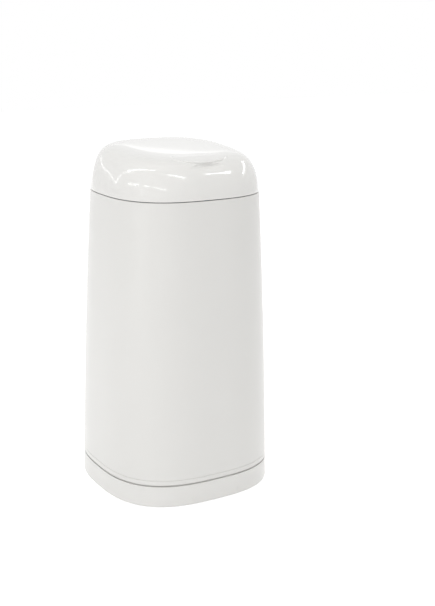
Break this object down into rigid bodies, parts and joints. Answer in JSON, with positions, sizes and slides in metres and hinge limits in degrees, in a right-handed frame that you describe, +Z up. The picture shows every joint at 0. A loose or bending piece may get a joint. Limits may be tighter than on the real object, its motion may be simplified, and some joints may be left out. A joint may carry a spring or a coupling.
{
  "type": "nappy bin",
  "caption": "Free-standing tapered nappy bin with a domed hinged lid, a lift-up head with a film cassette and sprung jaws, an outer sleeve and an inner bucket.",
  "frame": {"origin": "middle of the footprint on the floor, under the rubber feet", "axes": "+Z up, -Y towards the front with the finger lip, +X to the right seen from the front of the bin"},
  "size_m": [0.2582, 0.252, 0.499],
  "materials": {
    "lid_gloss": "high gloss",
    "sleeve_satin": "semi-gloss",
    "base_gloss": "semi-gloss",
    "inner_grey": "satin",
    "jaw_grey": "satin",
    "soft_grey": "matt",
    "accent_blue": "satin",
    "cassette_grey": "satin",
    "film": "thin glossy film",
    "steel": "bright zinc plating"
  },
  "bodies": {
    "base": {"base_bucket": "base_gloss", "sleeve": "sleeve_satin", "foot_1": "soft_grey", "foot_2": "soft_grey", "foot_3": "soft_grey", "foot_4": "soft_grey", "hinge_bracket": "base_gloss", "bracket_screw_1": "steel", "bracket_screw_2": "steel", "lock_keeper": "base_gloss"},
    "head": {"head_frame": "inner_grey", "hinge_pin": "steel", "hinge_pin_cap": "steel", "clamp_housing": "inner_grey", "clamp_screw_1": "steel", "clamp_screw_2": "steel", "clamp_screw_3": "steel", "clamp_screw_4": "steel", "cassette_tray": "cassette_grey", "cassette_cap": "cassette_grey", "film_pack": "film", "film_tube": "film", "jaw_pin_front": "steel", "jaw_pin_rear": "steel"},
    "front_jaw": {"jaw_front": "jaw_grey", "jaw_lip_front": "soft_grey", "jaw_spring_front": "steel"},
    "rear_jaw": {"jaw_rear": "jaw_grey", "jaw_lip_rear": "soft_grey", "jaw_spring_rear": "steel"},
    "lock": {"lock_slider": "accent_blue"},
    "cutter": {"cutter_slider": "accent_blue", "cutter_blade": "steel"},
    "lid": {"lid_shell": "lid_gloss", "lid_hinge_leaf": "lid_gloss", "lid_liner": "inner_grey", "lid_seal": "soft_grey", "liner_screw_1": "steel", "liner_screw_2": "steel", "liner_screw_3": "steel", "liner_screw_4": "steel"}
  },
  "joints": [
    {"name": "head_hinge", "type": "hinge", "parent": "base", "child": "head", "pos_m": [0, 0.116, 0.434], "axis": [-1, 0, 0], "range_deg": [0, 65]},
    {"name": "lid_hinge", "type": "hinge", "parent": "head", "child": "lid", "pos_m": [0, 0.116, 0.434], "axis": [-1, 0, 0], "range_deg": [0, 95]},
    {"name": "front_jaw_hinge", "type": "hinge", "parent": "head", "child": "front_jaw", "pos_m": [0, -0.055, 0.366], "axis": [-1, 0, 0], "range_deg": [0, 55], "stiffness_Nm_per_rad": 0.06, "springref_deg": -34.38},
    {"name": "rear_jaw_hinge", "type": "hinge", "parent": "head", "child": "rear_jaw", "pos_m": [0, 0.065, 0.366], "axis": [1, 0, 0], "range_deg": [0, 55], "stiffness_Nm_per_rad": 0.06, "springref_deg": -34.38},
    {"name": "lock_slide", "type": "slide", "parent": "head", "child": "lock", "axis": [0, -1, 0], "range_m": [0, 0.0045]},
    {"name": "cutter_slide", "type": "slide", "parent": "head", "child": "cutter", "axis": [1, 0, 0], "range_m": [0, 0.077]}
  ]
}
